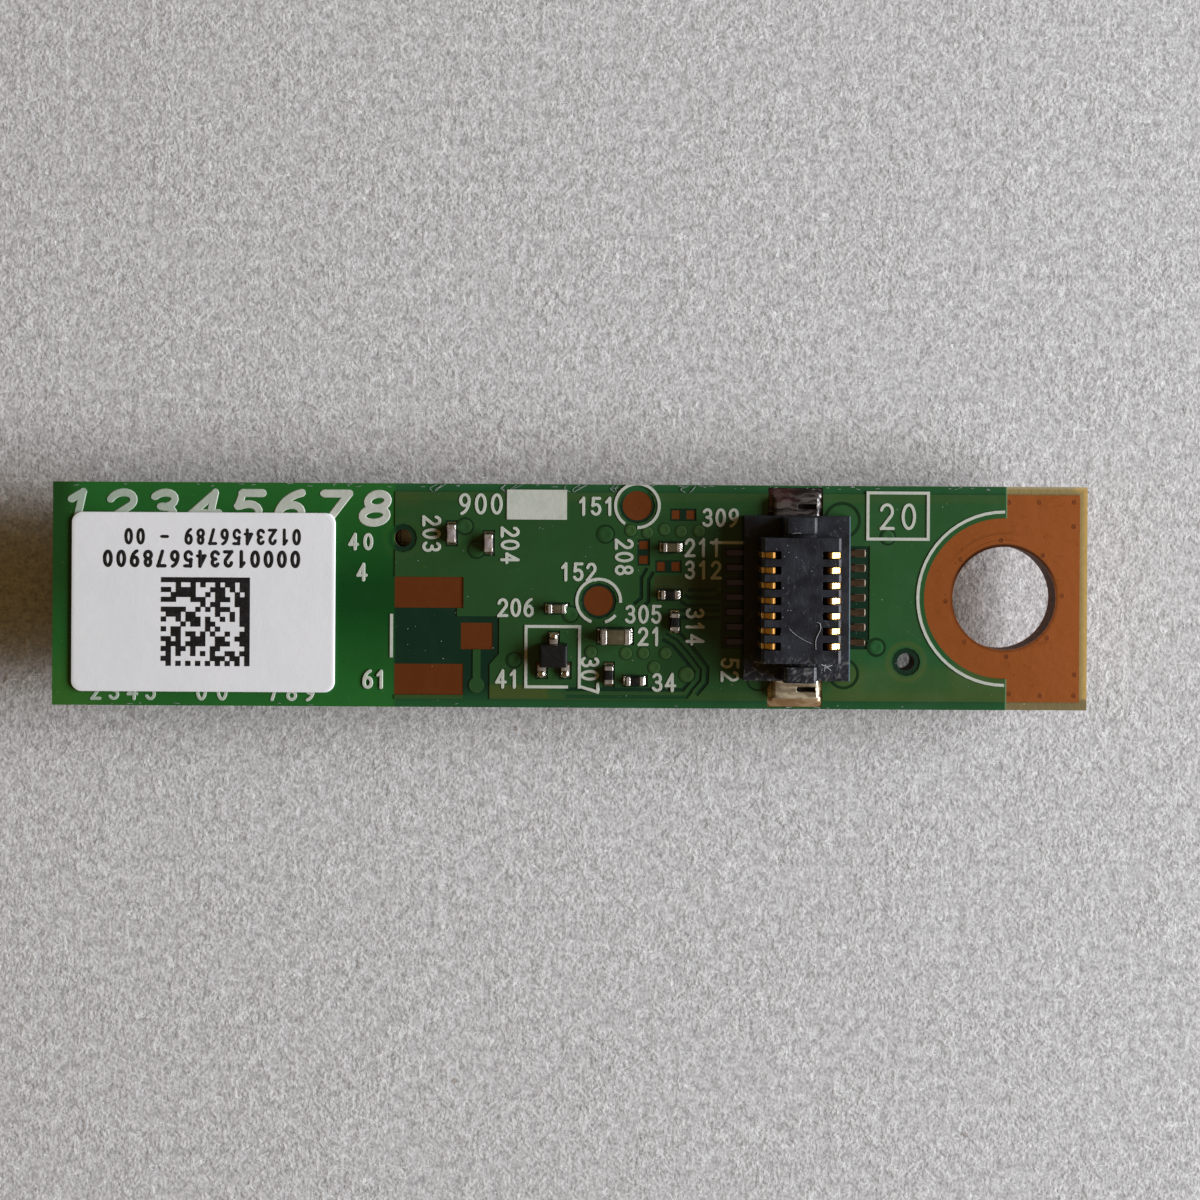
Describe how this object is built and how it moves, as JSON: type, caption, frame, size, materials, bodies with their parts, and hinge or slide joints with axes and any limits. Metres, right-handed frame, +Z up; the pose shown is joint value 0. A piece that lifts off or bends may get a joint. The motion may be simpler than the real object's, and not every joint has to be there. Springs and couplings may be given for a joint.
{
  "type": "wireless module",
  "caption": "Narrow green plug-in radio card with a board-to-board connector, a screw hole at one end and a shielded radio underneath.",
  "frame": {"origin": "centre of the bounding box in X and Y, on the flat face of the shield can that the card rests on", "axes": "+X along the board towards the screw hole, +Y across the board, +Z up out of the side that carries the connector"},
  "size_m": [0.035, 0.0076, 0.0033],
  "materials": {
    "laminate": "bare woven-glass laminate, satin",
    "solder_mask": "green solder mask, satin gloss, darker over copper",
    "copper": "bare copper under a clear protective film, slightly dulled",
    "gold_plating": "gold-plated contact, bright",
    "tin_plating": "tinned and soldered metal, bright with dull patches",
    "connector_plastic": "black moulded plastic, dusty",
    "label_paper": "white coated label stock",
    "ink": "off-white printed ink, slightly ragged",
    "chip_ceramic": "pinkish-brown ceramic",
    "chip_black": "black moulding compound",
    "can_tinplate": "tinplate, satin"
  },
  "bodies": {
    "root": {"antenna_filter_body": "chip_ceramic", "antenna_filter_ends": "tin_plating", "board": "laminate", "capacitor_1_body": "chip_ceramic", "capacitor_1_ends": "tin_plating", "capacitor_2_body": "chip_ceramic", "capacitor_2_ends": "tin_plating", "capacitor_3_body": "chip_ceramic", "capacitor_3_ends": "tin_plating", "capacitor_4_body": "chip_ceramic", "capacitor_4_ends": "tin_plating", "capacitor_5_body": "chip_ceramic", "capacitor_5_ends": "tin_plating", "connector_contacts": "gold_plating", "connector_housing": "connector_plastic", "crystal_base": "chip_ceramic", "crystal_lid": "can_tinplate", "crystal_pads": "tin_plating", "ground_copper_bottom": "copper", "ground_copper_top": "copper", "hold_down_tab_1": "tin_plating", "hold_down_tab_2": "tin_plating", "inductor_body": "chip_black", "inductor_ends": "tin_plating", "label": "label_paper", "memory_chip_body": "chip_black", "memory_chip_pads": "tin_plating", "printed_antenna": "copper", "printed_ink": "ink", "radio_chip_body": "chip_black", "radio_chip_pads": "tin_plating", "regulator_body": "chip_black", "regulator_pads": "tin_plating", "resistor_1_body": "chip_black", "resistor_1_ends": "tin_plating", "resistor_2_body": "chip_black", "resistor_2_ends": "tin_plating", "resistor_3_body": "chip_black", "resistor_3_ends": "tin_plating", "resistor_4_body": "chip_black", "resistor_4_ends": "tin_plating", "shield_can": "can_tinplate", "signal_copper_bottom": "copper", "signal_copper_top": "copper", "solder_mask_bottom": "solder_mask", "solder_mask_top": "solder_mask", "transistor_body": "chip_black", "transistor_leads": "tin_plating", "underside_capacitor_bodies": "chip_ceramic", "underside_capacitor_ends": "tin_plating", "underside_resistor_bodies": "chip_black", "underside_resistor_ends": "tin_plating"}
  },
  "joints": []
}
